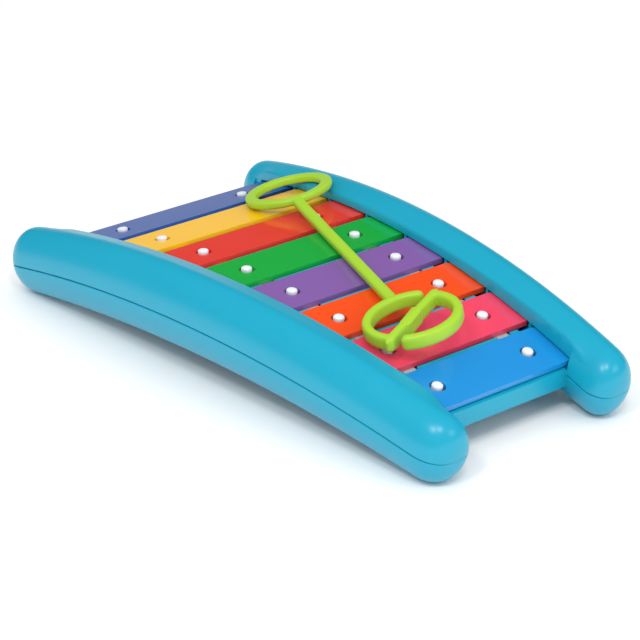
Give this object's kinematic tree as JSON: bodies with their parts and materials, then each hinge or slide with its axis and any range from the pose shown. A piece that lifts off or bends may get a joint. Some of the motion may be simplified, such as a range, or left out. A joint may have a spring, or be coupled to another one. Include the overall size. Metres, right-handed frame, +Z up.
{
  "type": "xylophone",
  "caption": "Toy xylophone: rainbow metal bars on a shallow arched plastic tray between two rounded rails, with a one-piece looped mallet lying on top.",
  "frame": {"origin": "on the floor under the middle of the bounding box", "axes": "+X along the row of bars towards the shortest bar, +Y towards the left rail of someone looking along +X, +Z up"},
  "size_m": [0.2766, 0.1586, 0.0482],
  "materials": {
    "turquoise_plastic": "semi-gloss moulded",
    "grey_felt": "matt felt",
    "dark_blue_paint": "gloss enamel",
    "yellow_paint": "gloss enamel",
    "red_paint": "gloss enamel",
    "green_paint": "gloss enamel",
    "purple_paint": "gloss enamel",
    "orange_paint": "gloss enamel",
    "pink_paint": "gloss enamel",
    "light_blue_paint": "gloss enamel",
    "white_plastic": "gloss moulded",
    "screw_steel": "zinc plated",
    "lime_plastic": "gloss moulded"
  },
  "bodies": {
    "frame": {"upper_body": "turquoise_plastic", "left_rail_base": "turquoise_plastic", "right_rail_base": "turquoise_plastic", "left_felt_strip": "grey_felt", "right_felt_strip": "grey_felt", "dark_blue_left_peg": "white_plastic", "dark_blue_right_peg": "white_plastic", "yellow_left_peg": "white_plastic", "yellow_right_peg": "white_plastic", "red_left_peg": "white_plastic", "red_right_peg": "white_plastic", "green_left_peg": "white_plastic", "green_right_peg": "white_plastic", "purple_left_peg": "white_plastic", "purple_right_peg": "white_plastic", "orange_left_peg": "white_plastic", "orange_right_peg": "white_plastic", "pink_left_peg": "white_plastic", "pink_right_peg": "white_plastic", "light_blue_left_peg": "white_plastic", "light_blue_right_peg": "white_plastic", "left_base_screws": "screw_steel", "right_base_screws": "screw_steel"},
    "dark_blue_bar": {"dark_blue_bar": "dark_blue_paint"},
    "yellow_bar": {"yellow_bar": "yellow_paint"},
    "red_bar": {"red_bar": "red_paint"},
    "green_bar": {"green_bar": "green_paint"},
    "purple_bar": {"purple_bar": "purple_paint"},
    "orange_bar": {"orange_bar": "orange_paint"},
    "pink_bar": {"pink_bar": "pink_paint"},
    "light_blue_bar": {"light_blue_bar": "light_blue_paint"},
    "mallet": {"mallet": "lime_plastic"}
  },
  "joints": [
    {"name": "dark_blue_bar_play", "type": "slide", "parent": "frame", "child": "dark_blue_bar", "axis": [-0.1958, 0, 0.9806], "range_m": [0, 0.0003]},
    {"name": "yellow_bar_play", "type": "slide", "parent": "frame", "child": "yellow_bar", "axis": [-0.1369, 0, 0.9906], "range_m": [0, 0.0003]},
    {"name": "red_bar_play", "type": "slide", "parent": "frame", "child": "red_bar", "axis": [-0.0774, 0, 0.997], "range_m": [0, 0.0003]},
    {"name": "green_bar_play", "type": "slide", "parent": "frame", "child": "green_bar", "axis": [-0.0177, 0, 0.9998], "range_m": [0, 0.0003]},
    {"name": "purple_bar_play", "type": "slide", "parent": "frame", "child": "purple_bar", "axis": [0.0421, 0, 0.9991], "range_m": [0, 0.0003]},
    {"name": "orange_bar_play", "type": "slide", "parent": "frame", "child": "orange_bar", "axis": [0.1018, 0, 0.9948], "range_m": [0, 0.0003]},
    {"name": "pink_bar_play", "type": "slide", "parent": "frame", "child": "pink_bar", "axis": [0.161, 0, 0.9869], "range_m": [0, 0.0003]},
    {"name": "light_blue_bar_play", "type": "slide", "parent": "frame", "child": "light_blue_bar", "axis": [0.2197, 0, 0.9756], "range_m": [0, 0.0003]},
    {"name": "mallet_lift", "type": "slide", "parent": "frame", "child": "mallet", "axis": [0, 0, 1], "range_m": [0, 0.06]}
  ]
}
